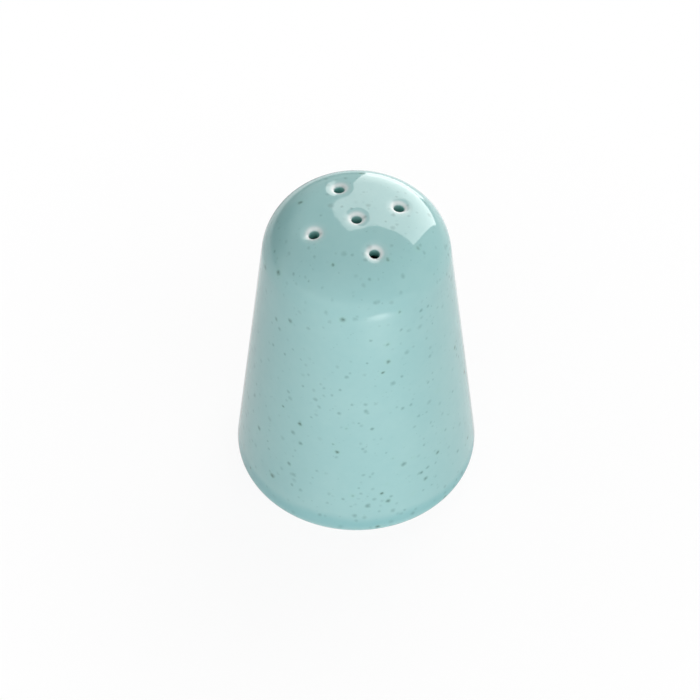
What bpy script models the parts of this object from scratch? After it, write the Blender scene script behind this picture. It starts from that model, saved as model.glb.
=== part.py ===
"""A glazed ceramic salt shaker and the soft stopper in its base.

The body is one fired shell: a cone with a domed crown, five lipped sift holes, a foot ring and a filler hole.
The stopper is one soft moulding, a flanged cup with sealing beads and a bar to pull it out by.
Metres, +Z up. The shaker stands on z = 0 with its axis on Z, and its front faces -Y.
"""

import math

import bmesh
import bpy
from mathutils import Matrix, Vector

# Outside of the ceramic body
HEIGHT = 0.0800  # foot to the top of the crown
BASE_DIAMETER = 0.0564  # widest, at the heel
WALL_TAPER = math.radians(6.1)  # lean of the wall towards the axis
HEEL_RADIUS = 0.0026  # between the foot and the wall
SHOULDER_RADIUS = 0.0120  # between the wall and the crown
CROWN_RADIUS = 0.0790  # the crown is part of a sphere

# Thickness and inside of the ceramic body
WALL = 0.0032
FLOOR = 0.0034
INNER_CORNER_RADIUS = 0.0050  # between the floor and the inside of the wall

# Foot ring and the recess inside it
FOOT_WIDTH = 0.0036
FOOT_EDGE_RADIUS = 0.0008
RECESS_CORNER_RADIUS = 0.0012

# Filler hole in the floor
FILLER_DIAMETER = 0.0220
FILLER_EDGE_RADIUS = 0.0008

# Sift holes: one at the top of the crown and a ring round it, each square to the surface
SIFT_BORE = 0.0024
SIFT_LIP_RADIUS = 0.0009  # the glazed edge rolls over into the bore
SIFT_LIP_TURN = math.radians(72)  # how far the lip's arc turns from the bore before it meets the dish
SIFT_DISH_RADIUS = 0.0050  # a flatter arc from the lip out to the crown
SIFT_DISH_TURN = math.radians(14)
SIFT_RING_RADIUS = 0.0102
SIFT_RING_COUNT = 4
SIFT_RING_START = math.radians(22.5)

# Stopper
FIT_GAP = 0.0003  # between the stopper and the ceramic
TABLE_GAP = 0.0012  # keeps the flange off the table
FLANGE_OVERLAP = 0.0026  # how far the flange reaches past the filler hole
FLANGE_THICKNESS = 0.0017
FLANGE_EDGE_RADIUS = 0.0006
SKIRT_REACH = 0.0036  # how far the cup stands up past the floor
SKIRT_WALL = 0.0018
NOSE_WALL = 0.0018  # closed end of the cup
NOSE_RADIUS = 0.0016
CUP_CORNER_RADIUS = 0.0010
BEAD_HEIGHT = 0.00045
BEAD_COUNT = 2
BAR_THICKNESS = 0.0024
BAR_SETBACK = 0.0007  # from the flange's face up to the bar
BAR_EDGE_RADIUS = 0.0008
BAR_EMBED = 0.0006  # the bar's ends run into the cup's wall

# Fineness of the round shapes
BODY_STEPS = 60
STOPPER_STEPS = 40
SIFT_STEPS = 22
BAR_EDGE_STEPS = 3
ARC_SAG = 0.00003  # how far a chord may stand off its arc in an outline
SHARP_ANGLE = math.radians(40)
MERGE_DISTANCE = 1e-6
CUT_MARGIN = 0.002  # cutters run this far past the surfaces that they cut

# Sizes that follow from those above
BASE_RADIUS = BASE_DIAMETER / 2
FILLER_RADIUS = FILLER_DIAMETER / 2
RECESS_DEPTH = TABLE_GAP + FLANGE_THICKNESS + FIT_GAP
FLOOR_TOP = RECESS_DEPTH + FLOOR
FOOT_INNER_RADIUS = BASE_RADIUS - HEEL_RADIUS - FOOT_WIDTH
BEAD_RADIUS = FILLER_RADIUS - FIT_GAP
SKIRT_RADIUS = BEAD_RADIUS - BEAD_HEIGHT
FLANGE_RADIUS = FILLER_RADIUS + FLANGE_OVERLAP
CUP_RADIUS = SKIRT_RADIUS - SKIRT_WALL

# Directions in the plane of an outline, whose points are (distance from the axis, height)
DOWN, OUT, UP, IN = (math.radians(angle) for angle in (-90, 0, 90, 180))

# The wall's outward normal and its upward direction
WALL_NORMAL = Vector((math.cos(WALL_TAPER), math.sin(WALL_TAPER)))
WALL_UP = Vector((-math.sin(WALL_TAPER), math.cos(WALL_TAPER)))

# Centres of the arcs of the outside. The shoulder touches the wall and the crown from inside.
HEEL_CENTRE = Vector((BASE_RADIUS - HEEL_RADIUS, HEEL_RADIUS))
CROWN_CENTRE = Vector((0, HEIGHT - CROWN_RADIUS))


def shoulder_centre():
    """The point one shoulder radius inside the wall's line and inside the crown's sphere."""
    on_wall = HEEL_CENTRE + (HEEL_RADIUS - SHOULDER_RADIUS) * WALL_NORMAL - CROWN_CENTRE
    along = on_wall.dot(WALL_UP)
    reach = CROWN_RADIUS - SHOULDER_RADIUS
    climb = math.sqrt(along**2 - on_wall.length_squared + reach**2) - along
    return CROWN_CENTRE + on_wall + climb * WALL_UP


SHOULDER_CENTRE = shoulder_centre()
TO_SHOULDER = SHOULDER_CENTRE - CROWN_CENTRE
CROWN_EDGE = math.atan2(TO_SHOULDER.y, TO_SHOULDER.x)  # direction in which the crown meets the shoulder


def arc(centre, radius, start, end):
    """Points along an arc from one direction to another, both ends included."""
    step = 2 * math.acos(1 - ARC_SAG / radius)
    count = max(2, math.ceil(abs(end - start) / step))
    angles = [start + (end - start) * i / count for i in range(count + 1)]
    return [(centre[0] + radius * math.cos(a), centre[1] + radius * math.sin(a)) for a in angles]


def body_outline():
    """Down the outside from the top of the crown, under the foot, through the filler hole, up the inside."""
    foot_edge = (FOOT_INNER_RADIUS + FOOT_EDGE_RADIUS, FOOT_EDGE_RADIUS)
    recess_corner = (FOOT_INNER_RADIUS - RECESS_CORNER_RADIUS, RECESS_DEPTH - RECESS_CORNER_RADIUS)
    filler_mouth = (FILLER_RADIUS + FILLER_EDGE_RADIUS, RECESS_DEPTH + FILLER_EDGE_RADIUS)
    filler_top = (FILLER_RADIUS + FILLER_EDGE_RADIUS, FLOOR_TOP - FILLER_EDGE_RADIUS)
    inner_corner = HEEL_CENTRE + (HEEL_RADIUS - WALL - INNER_CORNER_RADIUS) * WALL_NORMAL
    inner_corner += (FLOOR_TOP + INNER_CORNER_RADIUS - inner_corner.y) / WALL_UP.y * WALL_UP
    crown = arc(CROWN_CENTRE, CROWN_RADIUS, UP, CROWN_EDGE)
    inner_crown = arc(CROWN_CENTRE, CROWN_RADIUS - WALL, CROWN_EDGE, UP)
    return [
        *crown[:-1],
        *arc(SHOULDER_CENTRE, SHOULDER_RADIUS, CROWN_EDGE, WALL_TAPER),
        *arc(HEEL_CENTRE, HEEL_RADIUS, WALL_TAPER, DOWN),
        *arc(foot_edge, FOOT_EDGE_RADIUS, DOWN, -IN),
        *arc(recess_corner, RECESS_CORNER_RADIUS, OUT, UP),
        *arc(filler_mouth, FILLER_EDGE_RADIUS, DOWN, -IN),
        *arc(filler_top, FILLER_EDGE_RADIUS, IN, UP),
        *arc(inner_corner, INNER_CORNER_RADIUS, DOWN, WALL_TAPER),
        *arc(SHOULDER_CENTRE, SHOULDER_RADIUS - WALL, WALL_TAPER, CROWN_EDGE),
        *inner_crown[1:],
    ]


def stopper_outline():
    """Down the outside from the closed nose to the flange, then up the inside.

    Heights are from the underside of the ceramic floor.
    """
    nose_height = FLOOR + SKIRT_REACH
    flange_top = -FIT_GAP
    flange_face = flange_top - FLANGE_THICKNESS
    edge = min(FLANGE_EDGE_RADIUS, FLANGE_THICKNESS / 2)
    bead_pitch = FLOOR / BEAD_COUNT
    outline = [(0, nose_height)]
    outline += arc((SKIRT_RADIUS - NOSE_RADIUS, nose_height - NOSE_RADIUS), NOSE_RADIUS, UP, OUT)
    for i in reversed(range(BEAD_COUNT)):
        outline += arc((SKIRT_RADIUS, (i + 0.5) * bead_pitch), BEAD_HEIGHT, UP, DOWN)
    outline.append((SKIRT_RADIUS, flange_top))
    outline += arc((FLANGE_RADIUS - edge, flange_top - edge), edge, UP, OUT)
    outline += arc((FLANGE_RADIUS - edge, flange_face + edge), edge, OUT, DOWN)
    outline += arc((CUP_RADIUS + edge, flange_face + edge), edge, DOWN, -IN)
    ceiling = nose_height - NOSE_WALL
    outline += arc((CUP_RADIUS - CUP_CORNER_RADIUS, ceiling - CUP_CORNER_RADIUS), CUP_CORNER_RADIUS, OUT, UP)
    outline.append((0, ceiling))
    return outline


def sift_outline():
    """A trumpet, from above the crown down through the wall; heights are from the crown's surface."""
    bore = SIFT_BORE / 2
    bottom = -WALL - CUT_MARGIN
    dish_start = IN - SIFT_LIP_TURN
    dish_end = dish_start - SIFT_DISH_TURN
    lip_to_dish = SIFT_DISH_RADIUS - SIFT_LIP_RADIUS  # between the two arcs' centres
    lip_x = bore + SIFT_LIP_RADIUS
    dish_centre = (lip_x - lip_to_dish * math.cos(dish_start), -SIFT_DISH_RADIUS * math.sin(dish_end))
    lip_centre = (lip_x, dish_centre[1] + lip_to_dish * math.sin(dish_start))
    dish = arc(dish_centre, SIFT_DISH_RADIUS, dish_end, dish_start)
    lip = arc(lip_centre, SIFT_LIP_RADIUS, dish_start, IN)
    return [(0, CUT_MARGIN), (dish[0][0], CUT_MARGIN), *dish[:-1], *lip, (bore, bottom), (0, bottom)]


def crown_place(radius, turn):
    """The place on the outside at this distance from the axis, as a matrix with Z out of the surface."""
    if radius < CROWN_RADIUS * math.cos(CROWN_EDGE):
        centre, curve = CROWN_CENTRE, CROWN_RADIUS
    else:
        centre, curve = SHOULDER_CENTRE, SHOULDER_RADIUS
    tilt = math.asin((radius - centre.x) / curve)
    height = centre.y + curve * math.cos(tilt)
    move = Matrix.Translation((radius, 0, height)) @ Matrix.Rotation(tilt, 4, "Y")
    return Matrix.Rotation(turn, 4, "Z") @ move


def finished_mesh(name, shape):
    """A smooth-shaded mesh from a bmesh, which is freed."""
    bmesh.ops.recalc_face_normals(shape, faces=shape.faces)
    mesh = bpy.data.meshes.new(name)
    shape.to_mesh(mesh)
    shape.free()
    mesh.shade_smooth()
    mesh.set_sharp_from_angle(angle=SHARP_ANGLE)
    return mesh


def turned_mesh(name, outline, steps):
    """A closed mesh turned about Z from an outline that starts and ends on the axis."""
    shape = bmesh.new()
    points = [shape.verts.new((radius, 0, height)) for radius, height in outline]
    edges = [shape.edges.new(pair) for pair in zip(points, points[1:])]
    bmesh.ops.spin(shape, geom=points + edges, axis=(0, 0, 1), angle=2 * math.pi, steps=steps)
    bmesh.ops.remove_doubles(shape, verts=shape.verts, dist=MERGE_DISTANCE)
    return finished_mesh(name, shape)


def bar_mesh(name):
    """The bar across the cup, its two lower edges rounded. Heights are from the underside of the floor."""
    bottom = -FIT_GAP - FLANGE_THICKNESS + BAR_SETBACK
    top = FLOOR + SKIRT_REACH - NOSE_WALL + BAR_EMBED
    size = Vector((2 * (CUP_RADIUS + BAR_EMBED), BAR_THICKNESS, top - bottom))
    shape = bmesh.new()
    place = Matrix.Translation((0, 0, (top + bottom) / 2)) @ Matrix.Diagonal((*size, 1))
    bmesh.ops.create_cube(shape, size=1, matrix=place)
    lower = [
        edge
        for edge in shape.edges
        if all(math.isclose(vert.co.z, bottom, abs_tol=MERGE_DISTANCE) for vert in edge.verts)
        and math.isclose(edge.verts[0].co.y, edge.verts[1].co.y, abs_tol=MERGE_DISTANCE)
    ]
    radius = min(BAR_EDGE_RADIUS, BAR_THICKNESS / 2 - MERGE_DISTANCE)
    bmesh.ops.bevel(shape, geom=lower, offset=radius, segments=BAR_EDGE_STEPS, profile=0.5, affect="EDGES")
    return finished_mesh(name, shape)


def material(name, colour, roughness):
    made = bpy.data.materials.new(name)
    made.use_nodes = True
    shader = made.node_tree.nodes["Principled BSDF"]
    shader.inputs["Base Color"].default_value = (*colour, 1)
    shader.inputs["Roughness"].default_value = roughness
    shader.inputs["Metallic"].default_value = 0
    return made


def add_object(name, mesh, parent, place=None, finish=None):
    made = bpy.data.objects.new(name, mesh)
    bpy.context.scene.collection.objects.link(made)
    made.parent = parent
    if place:
        made.matrix_local = place
    if finish:
        mesh.materials.append(finish)
    return made


def add_helper(name, mesh, parent, place=None):
    """An object that only cuts or joins: it isn't rendered."""
    made = add_object(name, mesh, parent, place)
    made.hide_render = True
    made.display_type = "WIRE"
    return made


def combine(target, helper, operation):
    modifier = target.modifiers.new(helper.name, "BOOLEAN")
    modifier.operation = operation
    modifier.solver = "EXACT"
    modifier.object = helper


def add_body(parent):
    glaze = material("turquoise_glaze", (0.30, 0.53, 0.52), 0.08)
    mesh = turned_mesh("shaker_body", body_outline(), BODY_STEPS)
    body = add_object("shaker_body", mesh, parent, finish=glaze)
    ring = [SIFT_RING_START + 2 * math.pi * i / SIFT_RING_COUNT for i in range(SIFT_RING_COUNT)]
    places = [crown_place(0, 0)] + [crown_place(SIFT_RING_RADIUS, turn) for turn in ring]
    for i, place in enumerate(places):
        name = f"sift_hole_{i + 1}"
        cutter = add_helper(name, turned_mesh(name, sift_outline(), SIFT_STEPS), parent, place)
        combine(body, cutter, "DIFFERENCE")


def add_stopper(parent):
    """The stopper's origin is on its pull axis, at the underside of the floor."""
    silicone = material("milky_silicone", (0.80, 0.80, 0.76), 0.45)
    seat = Matrix.Translation((0, 0, RECESS_DEPTH))
    mesh = turned_mesh("filler_stopper", stopper_outline(), STOPPER_STEPS)
    stopper = add_object("filler_stopper", mesh, parent, seat, silicone)
    combine(stopper, add_helper("pull_bar", bar_mesh("pull_bar"), parent, seat), "UNION")


def main():
    for old in list(bpy.data.objects):
        bpy.data.objects.remove(old)
    shaker = bpy.data.objects.new("salt_shaker", None)
    bpy.context.scene.collection.objects.link(shaker)
    add_body(shaker)
    add_stopper(shaker)


main()
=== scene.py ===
"""Looks of a glazed ceramic salt shaker: its speckled body with five sift holes, and the stopper in its base.

Laid out as an add-on and run as a script. Metres, +Z up. The shaker stands on z = 0 with its axis on Z, and
its front faces -Y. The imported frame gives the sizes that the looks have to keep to.
"""

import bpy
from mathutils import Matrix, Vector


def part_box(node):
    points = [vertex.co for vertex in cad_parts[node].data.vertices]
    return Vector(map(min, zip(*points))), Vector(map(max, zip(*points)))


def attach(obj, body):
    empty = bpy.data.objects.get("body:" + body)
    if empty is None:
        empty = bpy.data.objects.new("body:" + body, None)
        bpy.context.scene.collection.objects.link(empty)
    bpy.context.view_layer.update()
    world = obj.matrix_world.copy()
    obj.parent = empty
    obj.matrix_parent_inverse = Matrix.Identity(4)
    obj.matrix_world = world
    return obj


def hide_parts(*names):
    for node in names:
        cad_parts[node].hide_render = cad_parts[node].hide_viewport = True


bl_info = {
    "name": "Salt Shaker",
    "version": (1, 0, 0),
    "blender": (4, 5, 0),
    "location": "View3D > Sidebar > Shaker",
    "description": "Models and finishes a glazed salt shaker on its packed frame",
    "category": "Add Mesh",
}

import math

import bmesh
import bpy
from bpy.props import FloatProperty, FloatVectorProperty, IntProperty, PointerProperty
from mathutils import Matrix, Vector

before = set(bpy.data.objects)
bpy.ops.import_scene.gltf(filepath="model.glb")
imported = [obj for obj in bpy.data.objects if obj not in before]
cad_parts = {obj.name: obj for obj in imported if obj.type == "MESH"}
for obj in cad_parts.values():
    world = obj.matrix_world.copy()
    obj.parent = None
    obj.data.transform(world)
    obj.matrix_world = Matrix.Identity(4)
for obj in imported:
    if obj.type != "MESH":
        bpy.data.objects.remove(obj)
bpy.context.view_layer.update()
body_low, body_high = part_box("shaker_body")
stopper_low, stopper_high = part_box("filler_stopper")

MERGE_DISTANCE = 1e-6
QUARTER = math.pi / 2
RELAXED_REACH = 1.6  # round a sift hole, how many times its rim the facets are evened out
RELAX_STEPS = 16
BAR_EDGE_STEPS = 5
FLOOR_STEPS = 96
FLOOR_DROP = 0.00002  # keeps the floor just under the foot
CARD_LIFT = 0.001  # keeps the card just over the floor
FLOOR_ALBEDO = 0.9
SHARP_ANGLE = math.radians(40)
WHITE = (1, 1, 1)
BLACK = (0, 0, 0)

# Heights on the outside between which the glaze is darker in a band over the heel, and lighter again on the heel's
# arc. The band is partly glaze that gathered there and partly painted shade for the shaded floor near the foot
# that the heel mirrors
HEEL_BAND_TOP, HEEL_BAND_FULL = 0.0072, 0.0040
HEEL_TOP, HEEL_BAND_EASED = 0.0034, 0.0022
# How far the upper edge of the darker heel band wanders. The band is painted shade in part
HEEL_BAND_WAVE = 0.004  # how far the gathered glaze's upper edge wanders
BARE_TOP, BARE_FULL = 0.00042, 0.00026  # heights between which the foot ring was wiped clean
BARE_WAVE = 0.0004  # how far the wiped line wanders
SPECK_WOBBLE = 0.0006  # how far a speck's outline strays from round
BUMP_DEPTH = 0.00002

UP = QUARTER  # direction in an outline, whose points are (distance from the axis, height)
DOWN = -QUARTER


def length(name, default, description):
    return FloatProperty(name=name, description=description, default=default, min=0, unit="LENGTH", precision=5)


def angle(name, degrees, description):
    return FloatProperty(name=name, description=description, default=math.radians(degrees), subtype="ANGLE")


def share(name, default, description):
    return FloatProperty(name=name, description=description, default=default, min=0, max=1, subtype="FACTOR")


def colour(name, default, description):
    return FloatVectorProperty(
        name=name, description=description, default=default, size=3, min=0, max=1, subtype="COLOR"
    )


class ShakerBodySizes(bpy.types.PropertyGroup):
    """The ceramic body"""

    height: length("Height", 0.0800, "Foot to the top of the crown, before the centre hole opens it")
    base_radius: length("Base radius", body_high.x, "Widest, at the heel")
    wall_taper: angle("Wall taper", 6.1, "Lean of the wall towards the axis")
    heel_radius: length("Heel radius", 0.0026, "Arc between the foot and the wall")
    shoulder_radius: length("Shoulder radius", 0.0120, "Arc between the wall and the crown")
    crown_radius: length("Crown radius", 0.0790, "The crown is part of a sphere")
    wall: length("Wall", 0.0032, "Thickness of the shell")
    floor: length("Floor", 0.0034, "Thickness of the floor")
    inner_corner: length("Inner corner", 0.0050, "Arc between the floor and the inside of the wall")
    recess_depth: length("Recess depth", 0.0032, "From the foot up to the underside of the floor")
    foot_width: length("Foot width", 0.0036, "Foot ring, from the heel to the recess")
    foot_edge: length("Foot edge", 0.0008, "Arc on the foot ring's inner edge")
    recess_corner: length("Recess corner", 0.0012, "Arc between the foot ring and the floor")
    filler_radius: length("Filler radius", 0.0110, "Hole in the floor that the salt goes in by")
    filler_edge: length("Filler edge", 0.0008, "Arc on both edges of the filler hole")
    turn_steps: IntProperty(name="Turn steps", description="Facets round the axis", default=256, min=12)
    outer_facet: length("Outer facet", 0.00042, "Length of a facet along the crown, the shoulder and the heel")
    wall_facet: length("Wall facet", 0.0016, "Length of a facet along straight runs")
    inner_facet: length("Inner facet", 0.0009, "Length of a facet along the inside")


class SiftHoleSizes(bpy.types.PropertyGroup):
    """The holes in the crown that the salt comes out by"""

    bore_radius: length("Bore radius", 0.00113, "Hole through the wall")
    lip_radius: length("Lip radius", 0.0007, "Arc by which the glazed edge rolls over into the bore")
    lip_turn: angle("Lip turn", 72, "How far the lip's arc turns from the bore before it meets the dish")
    dish_radius: length("Dish radius", 0.0050, "Flatter arc from the lip out to the crown")
    dish_turn: angle("Dish turn", 17, "How far the dish's arc turns")
    ring_radius: length("Ring radius", 0.0102, "From the axis to the holes round the centre one")
    ring_count: IntProperty(name="Ring count", description="Holes round the centre one", default=4, min=1)
    ring_start: angle("Ring start", 22.5, "Direction of the first hole, from +X towards +Y")
    dimple_radius: length("Dimple radius", 0.0076, "How far round a hole the crown dips")
    dimple_depth: length("Dimple depth", 0.00012, "How deep the crown dips at a hole's rim")
    dimple_power: FloatProperty(name="Dimple power", description="How late the dip begins", default=1.25, min=1)
    facet: length("Facet", 0.00016, "Length of a facet along the dish and the lip")
    white_radius: length("White radius", 0.0024, "How far round a hole the glaze thins out towards white")
    halo_radius: length("Halo radius", 0.0037, "Reach of the faint paleness round a hole")
    white_share: share("White share", 0.78, "Part of the paleness that is close to a hole, not in its halo")
    white_depth: length("White depth", 0.0014, "How far down the hole the glaze is thin and white")


class StopperSizes(bpy.types.PropertyGroup):
    """The soft stopper in the filler hole"""

    face: length("Face", stopper_low.z, "Height of the flange's face above the table")
    top: length("Top", stopper_high.z, "Height of the closed nose above the table")
    flange_radius: length("Flange radius", stopper_high.x, "Widest, under the floor of the body")
    flange_thickness: length("Flange thickness", 0.0017, "Flange that lies against the floor")
    flange_edge: length("Flange edge", 0.0006, "Arc on the flange's edges")
    skirt_radius: length("Skirt radius", 0.01025, "Outside of the cup, between its beads")
    skirt_wall: length("Skirt wall", 0.0018, "Thickness of the cup's wall")
    nose_wall: length("Nose wall", 0.0018, "Thickness of the cup's closed end")
    nose_radius: length("Nose radius", 0.0016, "Arc between the skirt and the nose")
    cup_corner: length("Cup corner", 0.0010, "Arc inside the cup")
    bead_height: length("Bead height", 0.00045, "How far a sealing bead stands off the skirt")
    bead_count: IntProperty(name="Bead count", description="Sealing beads", default=2, min=1)
    bead_pitch: length("Bead pitch", 0.0017, "From one bead to the next")
    bar_thickness: length("Bar thickness", 0.0024, "Bar across the cup to pull the stopper out by")
    bar_setback: length("Bar setback", 0.0007, "From the flange's face up to the bar")
    bar_edge: length("Bar edge", 0.0008, "Arc on the bar's lower edges")
    bar_embed: length("Bar embed", 0.0006, "How far the bar runs into the cup's wall")
    gate_radius: length("Gate radius", 0.0016, "Shallow mark of the mould's gate on the nose")
    gate_depth: length("Gate depth", 0.00025, "Depth of the gate's mark")
    turn_steps: IntProperty(name="Turn steps", description="Facets round the axis", default=128, min=12)
    facet: length("Facet", 0.00022, "Length of a facet along the arcs")
    long_facet: length("Long facet", 0.0020, "Length of a facet along straight runs")


class FinishColours(bpy.types.PropertyGroup):
    """Glaze, clay and silicone"""

    glaze: colour("Glaze", (0.334, 0.584, 0.582), "Turquoise glaze at its usual thickness")
    # Deep glaze that also paints shade: it darkens the band over the heel, standing in part for the shaded floor
    # that the heel mirrors
    deep_glaze_and_heel_shade: colour("Deep glaze", (0.205, 0.475, 0.495), "Where the glaze ran down and lies thick")
    glaze_thin: colour("Thin glaze", (0.720, 0.795, 0.790), "Where the glaze is thin over the white clay")
    # Painted shade: this colour darkens the bores of the sift holes, where little light gets in
    bore_shade_colour: colour("Thick glaze", (0.150, 0.430, 0.390), "Where the glaze filled the bores of the sift holes")
    clay: colour("Clay", (0.720, 0.660, 0.570), "Bare clay of the foot ring")
    speck: colour("Speck", (0.018, 0.100, 0.090), "Iron specks in the glaze")
    speck_rust: colour("Rusty speck", (0.026, 0.092, 0.066), "Specks that have bled into the glaze")
    speck_halo: colour("Speck halo", (0.305, 0.565, 0.525), "Olive stain round a large speck")
    silicone: colour("Silicone", (0.800, 0.800, 0.760), "Milky silicone of the stopper")


class StageSettings(bpy.types.PropertyGroup):
    """Camera, floor and light"""

    camera_elevation: angle("Camera elevation", 51.0, "Of the camera, seen from the shaker")
    camera_distance: length("Camera distance", 0.7332, "From the point that the camera aims at")
    camera_lens: FloatProperty(
        name="Camera lens", description="Focal length", default=163.4, min=1, unit="CAMERA"
    )
    aim_height: length("Aim height", 0.0337, "Height on the shaker that the camera aims at")
    aim_left: length("Aim left", 0.00147, "How far left of the shaker's axis the camera aims")
    floor_radius: length("Floor radius", 2.5, "Round floor")
    floor_opening: length("Floor opening", 0.0254, "Hole under the foot, which the stopper can come out through")
    floor_shade: share("Floor shade", 0.09, "How much of the floor's own shading the camera sees on white")
    floor_shaded: length("Floor shaded", 0.03, "How far off the camera sees the floor's shading in full")
    floor_plain: length("Floor plain", 0.14, "How far off the camera sees plain white only")
    floor_sides: share("Floor sides", 0.72, "How white the floor is in the glaze, to the left and right")
    floor_end: length("Floor end", 0.24, "How far off the floor starts to fade in the glaze")
    floor_fade: length("Floor fade", 0.28, "How far the floor takes to fade")
    shadow_azimuth: angle("Shadow azimuth", -14, "Of the shaker's shadow in the glaze, from +Y towards +X")
    shadow_width: angle("Shadow width", 20, "How far from its middle the shadow ends")
    shadow_reach: length("Shadow reach", 0.2, "How far off the shadow ends")
    shadow_depth: share("Shadow depth", 0.6, "How dark the shadow is")
    corner_azimuth: angle("Corner azimuth", -50, "Dark corner of the room in the glaze, from +Y towards +X")
    corner_elevation: angle("Corner elevation", 6, "Height of the dark corner's middle")
    corner_width: angle("Corner width", 34, "How far from its middle the dark corner ends")
    corner_depth: share("Corner depth", 0.85, "How dark the corner is")
    softbox_azimuth: angle("Softbox azimuth", 25, "Behind the shaker, from +Y towards +X")
    softbox_elevation: angle("Softbox elevation", 26.5, "Height of the softbox's middle")
    softbox_roll: angle("Softbox roll", 3.5, "Turn of the softbox about its own axis")
    softbox_distance: length("Softbox distance", 1.0, "From the foot to the softbox's middle")
    softbox_width: length("Softbox width", 0.88, "Width of the softbox")
    softbox_height: length("Softbox height", 1.12, "Height of the softbox")
    strip_azimuth: angle("Strip azimuth", 15, "Of the strip light that stands on the floor under the softbox")
    strip_distance: length("Strip distance", 0.28, "From the shaker's axis")
    strip_width: length("Strip width", 0.12, "Width of the strip light")
    strip_height: length("Strip height", 0.07, "Height of the strip light")
    card_azimuth: angle("Card azimuth", 157, "Of the soft card that lies in front of the shaker")
    card_distance: length("Card distance", 0.185, "From the shaker's axis to the card's middle")
    card_width: length("Card width", 0.12, "Width of the card")
    card_length: length("Card length", 0.22, "Length of the card, away from the shaker")
    lamp_radiance: FloatProperty(name="Lamp radiance", description="Brightness of the lamps", default=2.8, min=0)
    lamp_colour: colour("Lamp colour", (1.0, 0.95, 0.92), "Slightly warm")
    front_azimuth: angle("Front azimuth", 12, "Of the bright front of the room, from -Y towards +X")
    front_elevation: angle("Front elevation", 16, "Of the bright front of the room")
    front_core: angle("Front core", 19, "How far from its middle the front is fully bright")
    front_edge: angle("Front edge", 64, "How far from its middle the front fades out")
    front_radiance: FloatProperty(name="Front radiance", description="Brightness", default=1.94, min=0)
    front_rise: angle("Front rise", 20, "How high the white front of the room stands in the glaze")
    front_turn: angle("Front turn", 15, "Turn of the white front in the glaze, to the left")
    room_left: share("Room left", 0.29, "Brightness of the rest of the room on the left")
    room_right: share("Room right", 0.28, "Brightness of the rest of the room on the right")
    room_below: share("Room below", 0.9, "Brightness under the floor, for the base when it is looked at")
    mirrored_left: share("Mirrored left", 0.65, "Brightness of the left of the room in the glaze")
    mirrored_right: share("Mirrored right", 0.48, "Brightness of the right of the room in the glaze")
    mirrored_corner: share("Mirrored corner", 0.2, "Brightness of the floor under the dark corner in the glaze")


class Pen:
    """Draws an outline in the XZ plane with one vertex, and turns it about Z. It leaves edit mode at the end."""

    def __init__(self, name, start):
        deselect_all()
        bpy.ops.mesh.primitive_plane_add(size=MERGE_DISTANCE, location=(0, 0, 0))
        self.piece = bpy.context.object
        self.piece.name = name
        self.piece.data.name = name
        bpy.ops.object.mode_set(mode="EDIT")
        bpy.ops.mesh.select_all(action="SELECT")
        bpy.ops.mesh.merge(type="CENTER")
        bpy.ops.transform.translate(value=(start[0], 0, start[1]))
        self.point = Vector(start)

    def line(self, end, facet):
        """Extrude along a straight run in steps of about this length."""
        run = Vector(end) - self.point
        count = max(1, round(run.length / facet))
        step = run / count
        for _ in range(count):
            bpy.ops.mesh.extrude_region_move(TRANSFORM_OT_translate={"value": (step.x, 0, step.y)})
        self.point = Vector(end)

    def arc(self, centre, turn, facet):
        """Spin about a centre, anticlockwise where the turn is positive."""
        spoke = self.point - Vector(centre)
        count = max(2, round(spoke.length * abs(turn) / facet))
        bpy.ops.mesh.spin(steps=count, angle=turn, center=(centre[0], 0, centre[1]), axis=(0, 1, 0))
        self.point = Vector(centre) + Matrix.Rotation(turn, 2) @ spoke

    def turn(self, steps):
        """Spin the outline once round the axis into a closed shell, and return its object."""
        bpy.ops.mesh.select_all(action="SELECT")
        bpy.ops.mesh.spin(steps=steps, angle=2 * math.pi, center=(0, 0, 0), axis=(0, 0, 1))
        close_shell()
        bpy.ops.object.mode_set(mode="OBJECT")
        return self.piece


def deselect_all():
    if bpy.context.object and bpy.context.object.mode != "OBJECT":
        bpy.ops.object.mode_set(mode="OBJECT")
    bpy.ops.object.select_all(action="DESELECT")


def close_shell():
    """In edit mode: merge what meets, and turn all faces outwards."""
    bpy.ops.mesh.select_all(action="SELECT")
    bpy.ops.mesh.remove_doubles(threshold=MERGE_DISTANCE)
    bpy.ops.mesh.normals_make_consistent(inside=False)


def fade(value, none, full):
    """Smooth step from 0 at none to 1 at full."""
    part = min(max((value - none) / (full - none), 0), 1)
    return part * part * (3 - 2 * part)


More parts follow.
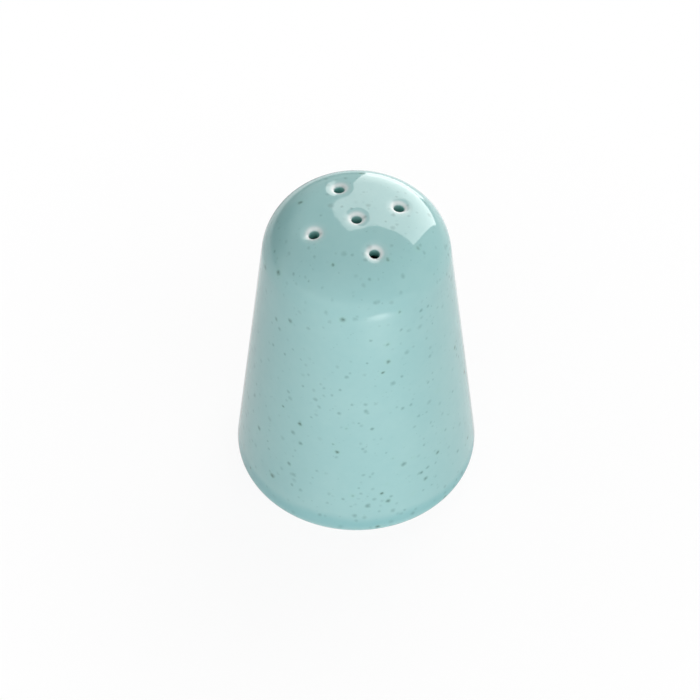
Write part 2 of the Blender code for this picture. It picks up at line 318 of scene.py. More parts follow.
class BodyShape:
    """Centres of the arcs of the body's outline, and the height of its crown."""

    def __init__(self, sizes, sift):
        self.sizes = sizes
        self.sift = sift
        self.wall_normal = Vector((math.cos(sizes.wall_taper), math.sin(sizes.wall_taper)))
        self.wall_up = Vector((-self.wall_normal.y, self.wall_normal.x))
        self.heel = Vector((sizes.base_radius - sizes.heel_radius, sizes.heel_radius))
        self.crown = Vector((0, sizes.height - sizes.crown_radius))
        self.shoulder = self.shoulder_centre()
        rise = self.shoulder - self.crown
        self.crown_edge = math.atan2(rise.y, rise.x)
        self.lip_slope = QUARTER - sift.lip_turn
        self.rim_slope = self.lip_slope - sift.dish_turn
        self.rim_radius = max(radius for radius, depth in self.hole_rings())
        self.places = [self.place(0, 0)] + [
            self.place(sift.ring_radius, sift.ring_start + 2 * math.pi * i / sift.ring_count)
            for i in range(sift.ring_count)
        ]

    def shoulder_centre(self):
        """One shoulder radius inside the wall's line and inside the crown's sphere."""
        sizes = self.sizes
        on_wall = self.heel + (sizes.heel_radius - sizes.shoulder_radius) * self.wall_normal - self.crown
        along = on_wall.dot(self.wall_up)
        reach = sizes.crown_radius - sizes.shoulder_radius
        climb = math.sqrt(along**2 - on_wall.length_squared + reach**2) - along
        return self.crown + on_wall + climb * self.wall_up

    def arc_at(self, radius):
        """Centre and radius of the arc that is this far from the axis, on the crown or the shoulder."""
        if radius < self.sizes.crown_radius * math.cos(self.crown_edge):
            return self.crown, self.sizes.crown_radius
        return self.shoulder, self.sizes.shoulder_radius

    def height_at(self, radius):
        centre, curve = self.arc_at(radius)
        return centre.y + math.sqrt(curve**2 - (radius - centre.x) ** 2)

    def place(self, radius, turn):
        """A place on the outside as a matrix with Z out of the surface."""
        centre, curve = self.arc_at(radius)
        tilt = math.asin((radius - centre.x) / curve)
        move = Matrix.Translation((radius, 0, self.height_at(radius))) @ Matrix.Rotation(tilt, 4, "Y")
        return Matrix.Rotation(turn, 4, "Z") @ move

    def hole_rings(self):
        """Distance from a sift hole's axis and depth below its rim, along the dish and the lip to the bore."""
        sift = self.sift
        arcs = [(sift.lip_radius, QUARTER, self.lip_slope), (sift.dish_radius, self.lip_slope, self.rim_slope)]
        rings = [(sift.bore_radius, 0)]
        for curve, start, end in arcs:
            radius, height = rings[-1]
            steps = math.ceil(curve * (start - end) / sift.facet)
            slopes = [start + (end - start) * (i + 1) / steps for i in range(steps)]
            for slope in slopes:
                out = curve * (math.sin(start) - math.sin(slope))
                rise = curve * (math.cos(slope) - math.cos(start))
                rings.append((radius + out, height + rise))
        top = rings[-1][1]
        return [(radius, top - height) for radius, height in reversed(rings)]

    def dipped_height(self, x, y):
        """Height of the outside with the dimples of the sift holes pressed in."""
        sift = self.sift
        height = self.height_at(math.hypot(x, y))
        for place in self.places:
            away = math.hypot(x - place.translation.x, y - place.translation.y)
            near = (sift.dimple_radius - away) / (sift.dimple_radius - self.rim_radius)
            height -= sift.dimple_depth * max(0, near) ** sift.dimple_power
        return height

    def is_outside(self, point):
        """Whether a point is on the outer skin of the crown, as far out as its dimples go."""
        radius = math.hypot(point.x, point.y)
        reach = self.sift.ring_radius + self.sift.dimple_radius
        return radius < reach and point.z > self.height_at(radius) - self.sizes.wall / 2


class SHAKER_OT_body(bpy.types.Operator):
    """Turn the hollow ceramic body from its outline"""

    bl_idname = "shaker.body"
    bl_label = "Turn the body"

    def execute(self, context):
        sizes = context.scene.shaker_body
        shape = BodyShape(sizes, context.scene.shaker_sift)
        outer, wall, inner = sizes.outer_facet, sizes.wall_facet, sizes.inner_facet
        foot_radius = sizes.base_radius - sizes.heel_radius - sizes.foot_width
        ceiling = sizes.recess_depth
        floor_top = ceiling + sizes.floor
        edge = sizes.filler_edge
        mouth = Vector((sizes.filler_radius + edge, ceiling + edge))
        brim = Vector((mouth.x, floor_top - edge))
        corner = shape.heel + (sizes.heel_radius - sizes.wall - sizes.inner_corner) * shape.wall_normal
        corner += (floor_top + sizes.inner_corner - corner.y) / shape.wall_up.y * shape.wall_up

        pen = Pen("glazed_body", (0, sizes.height))
        pen.arc(shape.crown, shape.crown_edge - UP, outer)
        pen.arc(shape.shoulder, sizes.wall_taper - shape.crown_edge, outer)
        pen.line(shape.heel + sizes.heel_radius * shape.wall_normal, wall)
        pen.arc(shape.heel, DOWN - sizes.wall_taper, outer)
        pen.line((foot_radius + sizes.foot_edge, 0), wall)
        pen.arc((foot_radius + sizes.foot_edge, sizes.foot_edge), -QUARTER, outer)
        pen.line((foot_radius, ceiling - sizes.recess_corner), wall)
        pen.arc((foot_radius - sizes.recess_corner, ceiling - sizes.recess_corner), QUARTER, outer)
        pen.line((mouth.x, ceiling), wall)
        pen.arc(mouth, -QUARTER, outer)
        pen.line((sizes.filler_radius, brim.y), wall)
        pen.arc(brim, -QUARTER, outer)
        pen.line((corner.x, floor_top), wall)
        pen.arc(corner, QUARTER + sizes.wall_taper, inner)
        pen.line(shape.shoulder + (sizes.shoulder_radius - sizes.wall) * shape.wall_normal, 2 * wall)
        pen.arc(shape.shoulder, shape.crown_edge - sizes.wall_taper, inner)
        pen.arc(shape.crown, UP - shape.crown_edge, inner)
        body = pen.turn(sizes.turn_steps)
        bpy.ops.object.shade_smooth()
        body.data.materials.append(speckled_glaze(context.scene.shaker_colours))
        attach(body, "body")
        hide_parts("shaker_body")
        return {"FINISHED"}


def select_verts(body, test):
    """In edit mode: select only the vertices that pass a test, and the edges and faces between them."""
    bpy.ops.mesh.select_all(action="DESELECT")
    mesh = bmesh.from_edit_mesh(body.data)
    for vert in mesh.verts:
        vert.select = test(vert)
    mesh.select_flush(True)
    bmesh.update_edit_mesh(body.data)


def select_faces(body, test):
    """In edit mode: select only the faces whose middle passes a test."""
    bpy.ops.mesh.select_all(action="DESELECT")
    mesh = bmesh.from_edit_mesh(body.data)
    for face in mesh.faces:
        face.select_set(test(face.calc_center_median()))
    bmesh.update_edit_mesh(body.data)


def open_rim(mesh, test):
    """The vertices along the one open rim that passes a test, in order."""
    rim = {edge for edge in mesh.edges if edge.is_boundary and test(edge.verts[0].co)}
    edge = min(rim, key=lambda edge: edge.index)
    order = [edge.verts[0]]
    vert = edge.verts[1]
    while vert is not order[0]:
        order.append(vert)
        edge = next(e for e in vert.link_edges if e in rim and e is not edge)
        vert = edge.other_vert(vert)
    return order


def round_rim(order, place, radius):
    """Spread the vertices of a rim evenly round a circle, keeping their height over its plane."""
    to_hole = place.inverted()
    spots = [to_hole @ vert.co for vert in order]
    turns = [math.atan2(spot.y, spot.x) for spot in spots]
    ahead = math.remainder(turns[1] - turns[0], 2 * math.pi)
    step = math.copysign(2 * math.pi / len(order), ahead)
    drift = [math.remainder(turn - turns[0] - i * step, 2 * math.pi) for i, turn in enumerate(turns)]
    first = turns[0] + sum(drift) / len(drift)
    for i, vert in enumerate(order):
        turn = first + i * step
        vert.co = place @ Vector((radius * math.cos(turn), radius * math.sin(turn), spots[i].z))


def open_round_hole(body, place, near, radius):
    """In edit mode: delete the faces near a hole's axis, and make the rim that is left a circle."""
    to_hole = place.inverted()
    select_faces(body, lambda middle: near(middle) and (to_hole @ middle).xy.length < radius)
    bpy.ops.mesh.delete(type="FACE")
    mesh = bmesh.from_edit_mesh(body.data)
    mesh.edges.index_update()
    round_rim(open_rim(mesh, near), place, radius)
    bmesh.update_edit_mesh(body.data)


def open_sift_hole(body, shape, place):
    """In edit mode: open one hole, roll its edge over into the bore, and join the bore to the inside."""
    sizes, sift = shape.sizes, shape.sift
    to_hole = place.inverted()
    relaxed = RELAXED_REACH * shape.rim_radius

    def near_outside(point):
        return shape.is_outside(point) and (to_hole @ point).xy.length < relaxed

    def near_inside(point):
        spot = to_hole @ point
        return abs(spot.z + sizes.wall) < sizes.wall / 2 and spot.xy.length < relaxed

    open_round_hole(body, place, near_outside, shape.rim_radius)

    # Even out the facets round the rim, and set them back on the crown
    select_verts(body, lambda vert: near_outside(vert.co) and not vert.is_boundary)
    bpy.ops.mesh.vertices_smooth(factor=0.5, repeat=RELAX_STEPS)
    mesh = bmesh.from_edit_mesh(body.data)
    for vert in mesh.verts:
        if near_outside(vert.co):
            vert.co.z = shape.dipped_height(vert.co.x, vert.co.y)
    bmesh.update_edit_mesh(body.data)

    # Extrude the rim ring by ring along the dish and the lip
    select_verts(body, lambda vert: vert.is_boundary and near_outside(vert.co))
    rings = shape.hole_rings()
    for (_, above), (radius, depth) in zip(rings, rings[1:]):
        bpy.ops.mesh.extrude_region_move()
        mesh = bmesh.from_edit_mesh(body.data)
        for vert in mesh.verts:
            if vert.select:
                spot = to_hole @ vert.co
                vert.co = place @ Vector((*(radius * spot.xy.normalized()), spot.z + above - depth))
        bmesh.update_edit_mesh(body.data)

    # Open the inside as wide as the bore, and bridge the two
    open_round_hole(body, place, near_inside, sift.bore_radius)
    on_bore = sift.bore_radius + MERGE_DISTANCE
    select_verts(body, lambda vert: vert.is_boundary and (to_hole @ vert.co).xy.length < on_bore)
    bpy.ops.mesh.bridge_edge_loops()


def mark_glaze(body, shape):
    """Write two masks at each vertex: where the glaze is thin and white on the lips of the sift holes, and painted
    shade deep inside their bores.
    """
    sift = shape.sift
    lip_edge = sift.bore_radius + sift.lip_radius / 3
    to_holes = [place.inverted() for place in shape.places]
    body.data.attributes.new("thin_glaze", "FLOAT", "POINT")
    body.data.attributes.new("painted_bore_shade", "FLOAT", "POINT")
    thin = body.data.attributes["thin_glaze"].data
    bore_shade = body.data.attributes["painted_bore_shade"].data
    for vert in body.data.vertices:
        spot = min((to_hole @ vert.co for to_hole in to_holes), key=lambda spot: spot.xy.length)
        out = spot.xy.length
        down = -spot.z
        close = fade(out, sift.white_radius, lip_edge)
        halo = fade(out, sift.halo_radius, lip_edge)
        white = sift.white_share * close + (1 - sift.white_share) * halo
        # Painted shade: the bores are darkened below the lip, where little light reaches
        in_bore = fade(out, lip_edge, sift.bore_radius)
        thin[vert.index].value = white * fade(down, sift.white_depth, sift.lip_radius)
        bore_shade[vert.index].value = in_bore * fade(down, sift.lip_radius, sift.white_depth)


class SHAKER_OT_sift_holes(bpy.types.Operator):
    """Dimple the crown and open the sift holes through it"""

    bl_idname = "shaker.sift_holes"
    bl_label = "Open the sift holes"

    def execute(self, context):
        sift = context.scene.shaker_sift
        shape = BodyShape(context.scene.shaker_body, sift)
        body = bpy.data.objects["glazed_body"]
        deselect_all()
        context.view_layer.objects.active = body
        body.select_set(True)
        bpy.ops.object.mode_set(mode="EDIT")
        mesh = bmesh.from_edit_mesh(body.data)
        for vert in mesh.verts:
            if shape.is_outside(vert.co):
                vert.co.z = shape.dipped_height(vert.co.x, vert.co.y)
        bmesh.update_edit_mesh(body.data)
        for place in shape.places:
            open_sift_hole(body, shape, place)
        close_shell()
        bpy.ops.object.mode_set(mode="OBJECT")
        bpy.ops.object.shade_smooth_by_angle(angle=SHARP_ANGLE)
        mark_glaze(body, shape)
        return {"FINISHED"}


class SHAKER_OT_stopper(bpy.types.Operator):
    """Turn the soft stopper and join its pull bar to it"""

    bl_idname = "shaker.stopper"
    bl_label = "Mould the stopper"

    def execute(self, context):
        sizes = context.scene.shaker_stopper
        facet, run = sizes.facet, sizes.long_facet
        edge = sizes.flange_edge
        skirt, flange = sizes.skirt_radius, sizes.flange_radius
        flange_top = sizes.face + sizes.flange_thickness
        cup = skirt - sizes.skirt_wall
        ceiling = sizes.top - sizes.nose_wall
        first_bead = flange_top + edge + sizes.bead_height / 2 + (sizes.bead_count - 0.5) * sizes.bead_pitch

        pen = Pen("silicone_stopper", (0, sizes.top - sizes.gate_depth))
        pen.line((sizes.gate_radius, pen.point.y), run)
        pen.line((sizes.gate_radius + sizes.gate_depth, sizes.top), facet)
        pen.line((skirt - sizes.nose_radius, sizes.top), run)
        pen.arc((skirt - sizes.nose_radius, sizes.top - sizes.nose_radius), -QUARTER, facet)
        for i in range(sizes.bead_count):
            middle = first_bead - i * sizes.bead_pitch
            pen.line((skirt, middle + sizes.bead_height), run)
            pen.arc((skirt, middle), -math.pi, facet)
        pen.line((skirt, flange_top), run)
        pen.line((flange - edge, flange_top), run)
        pen.arc((flange - edge, flange_top - edge), -QUARTER, facet)
        pen.line((flange, sizes.face + edge), run)
        pen.arc((flange - edge, sizes.face + edge), -QUARTER, facet)
        pen.line((cup + edge, sizes.face), run)
        pen.arc((cup + edge, sizes.face + edge), -QUARTER, facet)
        pen.line((cup, ceiling - sizes.cup_corner), run)
        pen.arc((cup - sizes.cup_corner, ceiling - sizes.cup_corner), QUARTER, facet)
        pen.line((0, ceiling), run)
        stopper = pen.turn(sizes.turn_steps)
        self.join_bar(stopper, sizes, cup, ceiling)
        bpy.ops.object.shade_smooth_by_angle(angle=SHARP_ANGLE)
        stopper.data.materials.clear()
        stopper.data.materials.append(milky_silicone(context.scene.shaker_colours))
        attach(stopper, "stopper")
        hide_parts("filler_stopper")
        return {"FINISHED"}

    def join_bar(self, stopper, sizes, cup, ceiling):
        """A block across the cup with rounded lower edges, united with the cup."""
        low = sizes.face + sizes.bar_setback
        high = ceiling + sizes.bar_embed
        deselect_all()
        bpy.ops.mesh.primitive_cube_add(size=1, location=(0, 0, (low + high) / 2))
        bar = bpy.context.object
        bar.name = "pull_bar"
        bar.scale = (2 * (cup + sizes.bar_embed), sizes.bar_thickness, high - low)
        bpy.ops.object.transform_apply(location=True, rotation=False, scale=True)
        bpy.ops.object.mode_set(mode="EDIT")
        bpy.ops.mesh.select_all(action="DESELECT")
        mesh = bmesh.from_edit_mesh(bar.data)
        for line in mesh.edges:
            first, last = line.verts
            along = abs(first.co.x - last.co.x) > sizes.bar_thickness
            line.select_set(along and max(first.co.z, last.co.z) < (low + high) / 2)
        bmesh.update_edit_mesh(bar.data)
        bpy.ops.mesh.bevel(offset=sizes.bar_edge, segments=BAR_EDGE_STEPS, profile=0.5, affect="EDGES")
        bpy.ops.object.mode_set(mode="OBJECT")
        deselect_all()
        bpy.context.view_layer.objects.active = stopper
        stopper.select_set(True)
        union = stopper.modifiers.new("pull_bar", "BOOLEAN")
        union.operation = "UNION"
        union.solver = "EXACT"
        union.object = bar
        bpy.ops.object.modifier_apply(modifier=union.name)
        bpy.data.objects.remove(bar)


def grey(level):
    return (level, level, level)


class Value:
    """A number on a socket. Sums on it add Math nodes."""

    def __init__(self, nodes, socket):
        self.nodes = nodes
        self.socket = socket

    def math(self, operation, *others):
        inputs = dict(enumerate((self, *others)))
        return self.nodes.add("ShaderNodeMath", {"operation": operation}, inputs)["Value"]

    def reflected(self, operation, first):
        return self.nodes.add("ShaderNodeMath", {"operation": operation}, {0: first, 1: self})["Value"]

    def __add__(self, other):
        return self.math("ADD", other)

    def __sub__(self, other):
        return self.math("SUBTRACT", other)

    def __mul__(self, other):
        return self.math("MULTIPLY", other)

    def __truediv__(self, other):
        return self.math("DIVIDE", other)

    def __radd__(self, other):
        return self.math("ADD", other)

    def __rmul__(self, other):
        return self.math("MULTIPLY", other)

    def __rsub__(self, other):
        return self.reflected("SUBTRACT", other)

    def __rtruediv__(self, other):
        return self.reflected("DIVIDE", other)

    def below(self, limit):
        return self.math("LESS_THAN", limit)

    def most(self, other):
        return self.math("MAXIMUM", other)

    def fade(self, none, full):
        """Smooth step from 0 at none to 1 at full."""
        inputs = {"Value": self, "From Min": none, "From Max": full, "To Min": 0, "To Max": 1}
        return self.nodes.add("ShaderNodeMapRange", {"interpolation_type": "SMOOTHSTEP"}, inputs)["Result"]


class Node:
    """A node whose outputs are read by name or number."""

    def __init__(self, nodes, node):
        self.nodes = nodes
        self.node = node

    def __getitem__(self, output):
        return Value(self.nodes, self.node.outputs[output])


class Nodes:
    """Adds nodes to the emptied tree of a material, a world or a lamp."""

    def __init__(self, owner):
        owner.use_nodes = True
        self.tree = owner.node_tree
        self.tree.nodes.clear()

    def add(self, kind, settings=None, inputs=None):
        """One node of a kind: its settings are set first, then its sockets get values or links."""
        node = self.tree.nodes.new(kind)
        for name, setting in (settings or {}).items():
            setattr(node, name, setting)
        for name, value in (inputs or {}).items():
            socket = node.inputs[name]
            if isinstance(value, Value):
                self.tree.links.new(value.socket, socket)
            elif socket.type == "RGBA":
                socket.default_value = (*value, 1)
            else:
                socket.default_value = value
        return Node(self, node)

    def blend(self, factor, first, second):
        """Mix two colours."""
        inputs = {"Factor": factor, 6: first, 7: second}
        return self.add("ShaderNodeMix", {"data_type": "RGBA"}, inputs)[2]

    def vector(self, operation, *inputs):
        return self.add("ShaderNodeVectorMath", {"operation": operation}, dict(enumerate(inputs)))["Vector"]

    def dot(self, first, second):
        return self.add("ShaderNodeVectorMath", {"operation": "DOT_PRODUCT"}, {0: first, 1: second})["Value"]

    def noise(self, place, feature, detail=2.0):
        """Noise whose blotches are about this many metres across, as a node with Fac and Color outputs."""
        return self.add("ShaderNodeTexNoise", None, {"Vector": place, "Scale": 1 / feature, "Detail": detail})

    def mix_shaders(self, factor, first, second):
        return self.add("ShaderNodeMixShader", None, {0: factor, 1: first, 2: second})["Shader"]


def specks(nodes, place, clusters, pitch, radius, density):
    """Specks scattered through the glaze, at most one to each cell of this pitch.

    Returns how near a point is to the middle of its speck, from 1 there to 0 at its edge and below 0 outside,
    and a number from 0 to 1 that is the speck's own.
    """
    cells = nodes.add("ShaderNodeTexVoronoi", None, {"Vector": place, "Scale": 1 / pitch})
    dice = nodes.add("ShaderNodeSeparateColor", None, {"Color": cells["Color"]})
    crowding = nodes.noise(cells["Position"], clusters)["Fac"].fade(0.35, 0.65)
    kept = dice["Green"].below(density * (0.4 + 1.2 * crowding))
    size = radius / pitch * (0.55 + 0.45 * dice["Red"]) * kept
    nearness = 1 - cells["Distance"] / size.most(0.001)
    return nearness, dice["Blue"]


def speckled_glaze(colours):
    """Glossy turquoise glaze with iron specks, white where it is thin, over clay that is bare on the foot ring."""
    made = bpy.data.materials.new("speckled_glaze")
    nodes = Nodes(made)
    place = nodes.add("ShaderNodeTexCoord")["Object"]
    height = nodes.add("ShaderNodeSeparateXYZ", None, {"Vector": place})["Z"]

    # Glaze: faintly cloudy, darker in a band over the heel (partly gathered glaze, partly painted shade), white
    # where it drew back from the lips
    clouds = nodes.noise(place, 0.016, 3.0)["Fac"]
    mottle = nodes.noise(place, 0.0022, 3.0)["Fac"]
    # Painted shade in part: a darker band over the heel, both gathered glaze and the shaded floor near the foot
    # that the heel mirrors
    heel_band = (height + HEEL_BAND_WAVE * (clouds - 0.5)).fade(HEEL_BAND_TOP, HEEL_BAND_FULL)
    run = heel_band * (1 - 0.5 * height.fade(HEEL_TOP, HEEL_BAND_EASED))
    depth = 0.13 * clouds.fade(0.35, 0.65) + 0.07 * mottle.fade(0.3, 0.7) + 0.65 * run
    tint = nodes.blend(depth, colours.glaze, colours.deep_glaze_and_heel_shade)
    thin = nodes.add("ShaderNodeAttribute", {"attribute_name": "thin_glaze"})["Fac"]
    ragged = thin + 0.25 * (mottle - 0.5) * thin.fade(0, 0.3)
    tint = nodes.blend(ragged.math("MINIMUM", 1), tint, colours.glaze_thin)
    # Painted shade inside the bores of the sift holes
    bore_shade = nodes.add("ShaderNodeAttribute", {"attribute_name": "painted_bore_shade"})["Fac"]
    tint = nodes.blend(bore_shade, tint, colours.bore_shade_colour)

    # Specks: clear ones, some with a stain round them, fainter ones, and a fine dust
    wobble = nodes.noise(place, 0.0011, 2.0)["Color"]
    shift = nodes.vector("SUBTRACT", wobble, grey(0.5))
    shaken = nodes.vector("MULTIPLY_ADD", shift, grey(SPECK_WOBBLE), place)
    clear, clear_own = specks(nodes, shaken, clusters=0.012, pitch=0.0028, radius=0.00095, density=0.5)
    faint, faint_own = specks(nodes, shaken, clusters=0.010, pitch=0.0021, radius=0.00072, density=0.55)
    dust, dust_own = specks(nodes, shaken, clusters=0.008, pitch=0.0012, radius=0.00034, density=0.4)
    stain = clear.fade(-1.0, 0.6) * clear_own.fade(0.5, 1.0)
    tint = nodes.blend(0.5 * stain, tint, colours.speck_halo)
    tint = nodes.blend(0.25 * dust.fade(0, 1.0) * dust_own, tint, colours.speck)
    tint = nodes.blend(faint.fade(-0.1, 1.0) * (0.10 + 0.30 * faint_own), tint, colours.speck)
    iron = nodes.blend(clear_own.fade(0.75, 0.95), colours.speck, colours.speck_rust)
    tint = nodes.blend(clear.fade(-0.1, 0.9) * (0.18 + 0.66 * clear_own * clear_own), tint, iron)

    # Bare foot ring, with an uneven line where the glaze was wiped off
    bare = (height + BARE_WAVE * (clouds - 0.5)).fade(BARE_TOP, BARE_FULL)
    grain = nodes.noise(place, 0.0005, 4.0)["Fac"]
    clay = nodes.blend(grain.fade(0.3, 0.75), colours.clay, [0.78 * part for part in colours.clay])
    tint = nodes.blend(bare, tint, clay)

    gloss = 0.03 + 0.03 * mottle + 0.1 * clear.fade(0, 0.5)
    roughness = gloss + bare * (0.75 - gloss)
    ripple = nodes.noise(place, 0.0035, 1.0)["Fac"]
    relief = ripple * (1 - bare) * 0.15 + grain * bare
    bump = nodes.add("ShaderNodeBump", None, {"Strength": 1.0, "Distance": BUMP_DEPTH, "Height": relief})["Normal"]
    inputs = {"Base Color": tint, "Roughness": roughness, "IOR": 1.62, "Normal": bump}
    shader = nodes.add("ShaderNodeBsdfPrincipled", None, inputs)["BSDF"]
    nodes.add("ShaderNodeOutputMaterial", None, {"Surface": shader})
    return made


def milky_silicone(colours):
    """Satin silicone that lets some light in, a little cloudy, with the fine grain of its mould."""
    made = bpy.data.materials.new("milky_silicone")
    nodes = Nodes(made)
    place = nodes.add("ShaderNodeTexCoord")["Object"]
    clouds = nodes.noise(place, 0.006, 3.0)["Fac"]
    grain = nodes.noise(place, 0.00025, 2.0)["Fac"]
    tint = nodes.blend(clouds.fade(0.3, 0.7), colours.silicone, [0.93 * part for part in colours.silicone])
    roughness = 0.38 + 0.14 * clouds
    bump = nodes.add("ShaderNodeBump", None, {"Strength": 0.5, "Distance": BUMP_DEPTH, "Height": grain})["Normal"]
    inputs = {
        "Base Color": tint,
        "Roughness": roughness,
        "IOR": 1.42,
        "Subsurface Weight": 0.35,
        "Subsurface Radius": (1.0, 0.9, 0.75),
        "Subsurface Scale": 0.0015,
        "Normal": bump,
    }
    shader = nodes.add("ShaderNodeBsdfPrincipled", None, inputs)["BSDF"]
    nodes.add("ShaderNodeOutputMaterial", None, {"Surface": shader})
    return made


def direction(azimuth, elevation=0.0):
    """Unit vector at an azimuth from +Y towards +X."""
    level = math.cos(elevation)
    return Vector((level * math.sin(azimuth), level * math.cos(azimuth), math.sin(elevation)))


def white_floor(settings):
    """Matt white. The camera sees plain white with the shaker's soft shadow, and from below nothing.

    In the glaze it glows white instead, with painted shade: dimmer at the sides and darker in a painted shadow of
    the shaker, and far off it fades into the room.
    """
    made = bpy.data.materials.new("white_floor")
    nodes = Nodes(made)
    path = nodes.add("ShaderNodeLightPath")
    underside = nodes.add("ShaderNodeNewGeometry")["Backfacing"]
    place = nodes.add("ShaderNodeTexCoord")["Object"]
    away = nodes.vector("NORMALIZE", place)
    far = nodes.add("ShaderNodeVectorMath", {"operation": "LENGTH"}, {0: place})["Value"]

    # Painted shade in what the glaze mirrors: the floor's glow is dimmer to the sides and darker in a painted
    # shadow behind the shaker
    side_shade = nodes.dot(away, direction(QUARTER)).math("ABSOLUTE").fade(0.3, 0.9)
    white = nodes.blend(side_shade, WHITE, grey(settings.floor_sides))
    painted_shadow = nodes.dot(away, direction(settings.shadow_azimuth)).fade(math.cos(settings.shadow_width), 1)
    painted_shadow = painted_shadow * far.fade(settings.shadow_reach, settings.shadow_reach / 2)
    white = nodes.blend(settings.shadow_depth * painted_shadow, white, BLACK)
    cornering = nodes.dot(away, direction(settings.corner_azimuth)).fade(0, 0.8)
    room = nodes.blend(cornering, grey(settings.mirrored_right), grey(settings.mirrored_corner))
    ahead = nodes.dot(away, direction(math.pi + settings.front_turn)).fade(0, 0.3)
    end = far.fade(settings.floor_end, settings.floor_end + settings.floor_fade) * (1 - ahead)
    mirrored_white = nodes.blend(end, white, room)

    matt = nodes.add("ShaderNodeBsdfDiffuse", None, {"Color": grey(FLOOR_ALBEDO)})["BSDF"]
    glow = nodes.add("ShaderNodeEmission", None, {"Color": mirrored_white, "Strength": 1.0})["Emission"]
    clear = nodes.add("ShaderNodeBsdfTransparent")["BSDF"]
    mirrored = nodes.mix_shaders(path["Is Glossy Ray"], matt, glow)
    shade = (1 - underside) * settings.floor_shade * far.fade(settings.floor_plain, settings.floor_shaded)
    surface = nodes.mix_shaders(path["Is Camera Ray"] * (1 - shade), mirrored, clear)
    nodes.add("ShaderNodeOutputMaterial", None, {"Surface": surface})
    return made


class SHAKER_OT_stage(bpy.types.Operator):
    """Set the shaker on a pale floor under soft light, before a camera at the photograph's angle"""

    bl_idname = "shaker.stage"
    bl_label = "Set the stage"

    def execute(self, context):
        settings = context.scene.shaker_stage
        context.scene.view_settings.view_transform = "Standard"
        self.lay_floor(settings)
        self.light_room(context.scene, settings)
        self.hang_softbox(settings)
        self.stand_strip(settings)
        self.lay_card(settings)
        self.place_camera(context.scene, settings)
        return {"FINISHED"}

    def lay_floor(self, settings):
        """A flat ring round the foot, just under it."""
        deselect_all()
        bpy.ops.mesh.primitive_circle_add(vertices=FLOOR_STEPS, radius=settings.floor_opening, location=(0, 0, 0))
        floor = bpy.context.object
        floor.name = "white_floor"
        bpy.ops.object.mode_set(mode="EDIT")
        bpy.ops.mesh.select_all(action="SELECT")
        bpy.ops.mesh.extrude_region_move()
        grow = settings.floor_radius / settings.floor_opening
        bpy.ops.transform.resize(value=(grow, grow, 1), center_override=(0, 0, 0))
        bpy.ops.mesh.select_all(action="SELECT")
        bpy.ops.transform.translate(value=(0, 0, -FLOOR_DROP))
        mesh = bmesh.from_edit_mesh(floor.data)
        for face in mesh.faces:
            face.normal_update()
            if face.normal.z < 0:
                face.normal_flip()
        bmesh.update_edit_mesh(floor.data)
        bpy.ops.object.mode_set(mode="OBJECT")
        floor.data.materials.append(white_floor(settings))

    def light_room(self, scene, settings):
        """White to the camera. It lights the shaker as a dim room with a bright front.

        In the glaze it has a white front and a dark corner.
        """
        world = bpy.data.worlds.new("studio")
        scene.world = world
        nodes = Nodes(world)
        path = nodes.add("ShaderNodeLightPath")
        look = nodes.add("ShaderNodeTexCoord")["Generated"]
        along = nodes.add("ShaderNodeSeparateXYZ", None, {"Vector": look})
        right = along["X"].fade(-0.9, 0.9)
        below = along["Z"].fade(-0.05, -0.3)

        middle = direction(math.pi - settings.front_azimuth, settings.front_elevation)
        front = nodes.dot(look, middle).fade(math.cos(settings.front_edge), math.cos(settings.front_core))
        light = nodes.blend(right, grey(settings.room_left), grey(settings.room_right))
        light = nodes.blend(front, light, grey(settings.front_radiance))
        light = nodes.blend(below, light, grey(settings.room_below))

        mirrored = nodes.blend(right, grey(settings.mirrored_left), grey(settings.mirrored_right))
        over_front = nodes.dot(look, direction(settings.front_turn, QUARTER - settings.front_rise))
        mirrored = nodes.blend(over_front.fade(0, -0.13), mirrored, WHITE)
        corner = nodes.dot(look, direction(settings.corner_azimuth, settings.corner_elevation))
        dark = corner.fade(math.cos(settings.corner_width), math.cos(settings.corner_width / 3))
        mirrored = nodes.blend(settings.corner_depth * dark, mirrored, BLACK)

        seen = nodes.blend(path["Is Glossy Ray"], light, mirrored)
        seen = nodes.blend(path["Is Camera Ray"], seen, WHITE)
        backdrop = nodes.add("ShaderNodeBackground", None, {"Color": seen, "Strength": 1.0})["Background"]
        nodes.add("ShaderNodeOutputWorld", None, {"Surface": backdrop})

    def hang_softbox(self, settings):
        """The large light behind the shaker that its crown mirrors, brighter to its lower right."""
        turn = Matrix.Rotation(-settings.softbox_azimuth, 4, "Z")
        facing = turn @ Matrix.Rotation(settings.softbox_elevation, 4, "X")
        roll = Matrix.Rotation(settings.softbox_roll, 4, "Y")
        place = facing @ Matrix.Translation((0, settings.softbox_distance, 0)) @ roll
        lamp = self.hang_lamp("softbox", settings, settings.softbox_width, settings.softbox_height, place)

        def pattern(across, down):
            lower_edge = 0.4 + 0.6 * down.fade(1, 0.88)
            return (0.72 + 0.36 * across + 0.34 * down) * lower_edge

        self.pattern_lamp(lamp, pattern)

    def stand_strip(self, settings):
        """The low light behind the shaker that carries the softbox's glint on to the back of the crown."""
        facing = Matrix.Rotation(-settings.strip_azimuth, 4, "Z")
        place = facing @ Matrix.Translation((0, settings.strip_distance, settings.strip_height / 2))
        self.hang_lamp("strip", settings, settings.strip_width, settings.strip_height, place)

    def lay_card(self, settings):
        """The soft light on the floor that the shoulder mirrors. It adds nothing to diffuse light."""
        facing = Matrix.Rotation(-settings.card_azimuth, 4, "Z")
        flat = Matrix.Rotation(-QUARTER, 4, "X")
        place = facing @ Matrix.Translation((0, settings.card_distance, CARD_LIFT)) @ flat
        lamp = self.hang_lamp("card", settings, settings.card_width, settings.card_length, place)
        bpy.data.objects["card"].visible_diffuse = False

        def pattern(across, down):
            return across.fade(0, 0.5) * across.fade(1, 0.5) * down.fade(0, 0.5) * down.fade(1, 0.5)

        self.pattern_lamp(lamp, pattern)

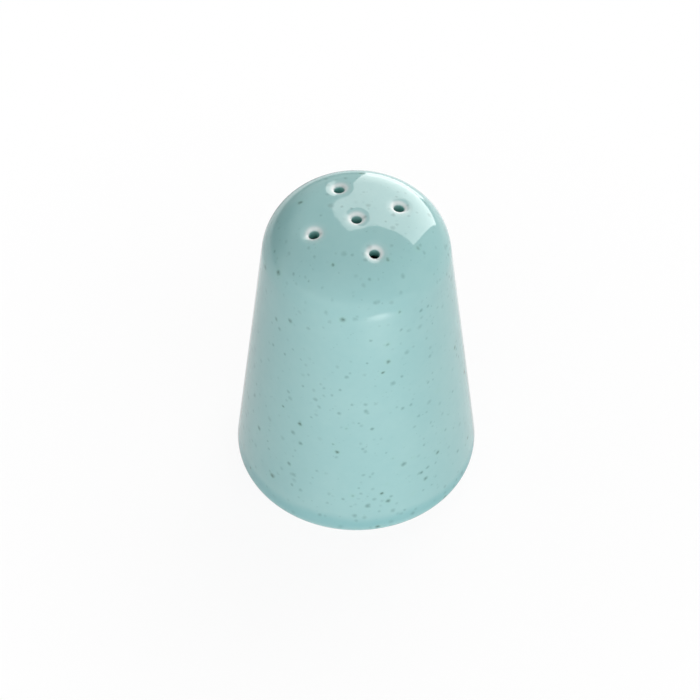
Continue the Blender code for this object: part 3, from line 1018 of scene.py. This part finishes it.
    def pattern_lamp(self, lamp, pattern):
        """Vary a lamp over its face, by a pattern of the place across it and down it, each from 0 to 1."""
        nodes = Nodes(lamp)
        spot = nodes.add("ShaderNodeNewGeometry")["Parametric"]
        along = nodes.add("ShaderNodeSeparateXYZ", None, {"Vector": spot})
        light = pattern(along["X"], along["Y"])
        glow = nodes.add("ShaderNodeEmission", None, {"Color": light, "Strength": 1.0})["Emission"]
        nodes.add("ShaderNodeOutputLight", None, {"Surface": glow})

    def hang_lamp(self, name, settings, width, height, place):
        """A flat lamp that is upright and shines towards -Y before it goes to its place."""
        lamp = bpy.data.lights.new(name, "AREA")
        lamp.shape = "RECTANGLE"
        lamp.size = width
        lamp.size_y = height
        lamp.energy = settings.lamp_radiance * math.pi * width * height
        lamp.color = settings.lamp_colour
        hung = bpy.data.objects.new(name, lamp)
        hung.matrix_world = place @ Matrix.Rotation(-QUARTER, 4, "X")
        hung.visible_camera = False
        bpy.context.scene.collection.objects.link(hung)
        return lamp

    def place_camera(self, scene, settings):
        lens = bpy.data.cameras.new("photo_camera")
        lens.lens = settings.camera_lens
        camera = bpy.data.objects.new("photo_camera", lens)
        aim = Matrix.Translation((-settings.aim_left, 0, settings.aim_height))
        tilt = Matrix.Rotation(QUARTER - settings.camera_elevation, 4, "X")
        camera.matrix_world = aim @ tilt @ Matrix.Translation((0, 0, settings.camera_distance))
        scene.collection.objects.link(camera)
        scene.camera = camera


class VIEW3D_PT_shaker(bpy.types.Panel):
    """Builds the shaker step by step"""

    bl_label = "Salt shaker"
    bl_space_type = "VIEW_3D"
    bl_region_type = "UI"
    bl_category = "Shaker"

    def draw(self, context):
        for operator, group in STEPS:
            box = self.layout.box()
            box.operator(operator.bl_idname)
            self.list_settings(box, getattr(context.scene, group))
        box = self.layout.box()
        box.label(text="Colours")
        self.list_settings(box, context.scene.shaker_colours)

    def list_settings(self, box, settings):
        for name in type(settings).__annotations__:
            box.prop(settings, name)


GROUPS = {
    "shaker_body": ShakerBodySizes,
    "shaker_sift": SiftHoleSizes,
    "shaker_stopper": StopperSizes,
    "shaker_colours": FinishColours,
    "shaker_stage": StageSettings,
}
STEPS = [
    (SHAKER_OT_body, "shaker_body"),
    (SHAKER_OT_sift_holes, "shaker_sift"),
    (SHAKER_OT_stopper, "shaker_stopper"),
    (SHAKER_OT_stage, "shaker_stage"),
]
CLASSES = [*GROUPS.values(), *(operator for operator, group in STEPS), VIEW3D_PT_shaker]


def register():
    for made in CLASSES:
        bpy.utils.register_class(made)
    for name, group in GROUPS.items():
        setattr(bpy.types.Scene, name, PointerProperty(type=group))


def unregister():
    for name in GROUPS:
        delattr(bpy.types.Scene, name)
    for made in reversed(CLASSES):
        bpy.utils.unregister_class(made)


def main():
    register()
    bpy.ops.shaker.body()
    bpy.ops.shaker.sift_holes()
    bpy.ops.shaker.stopper()
    bpy.ops.shaker.stage()


if __name__ == "__main__":
    main()
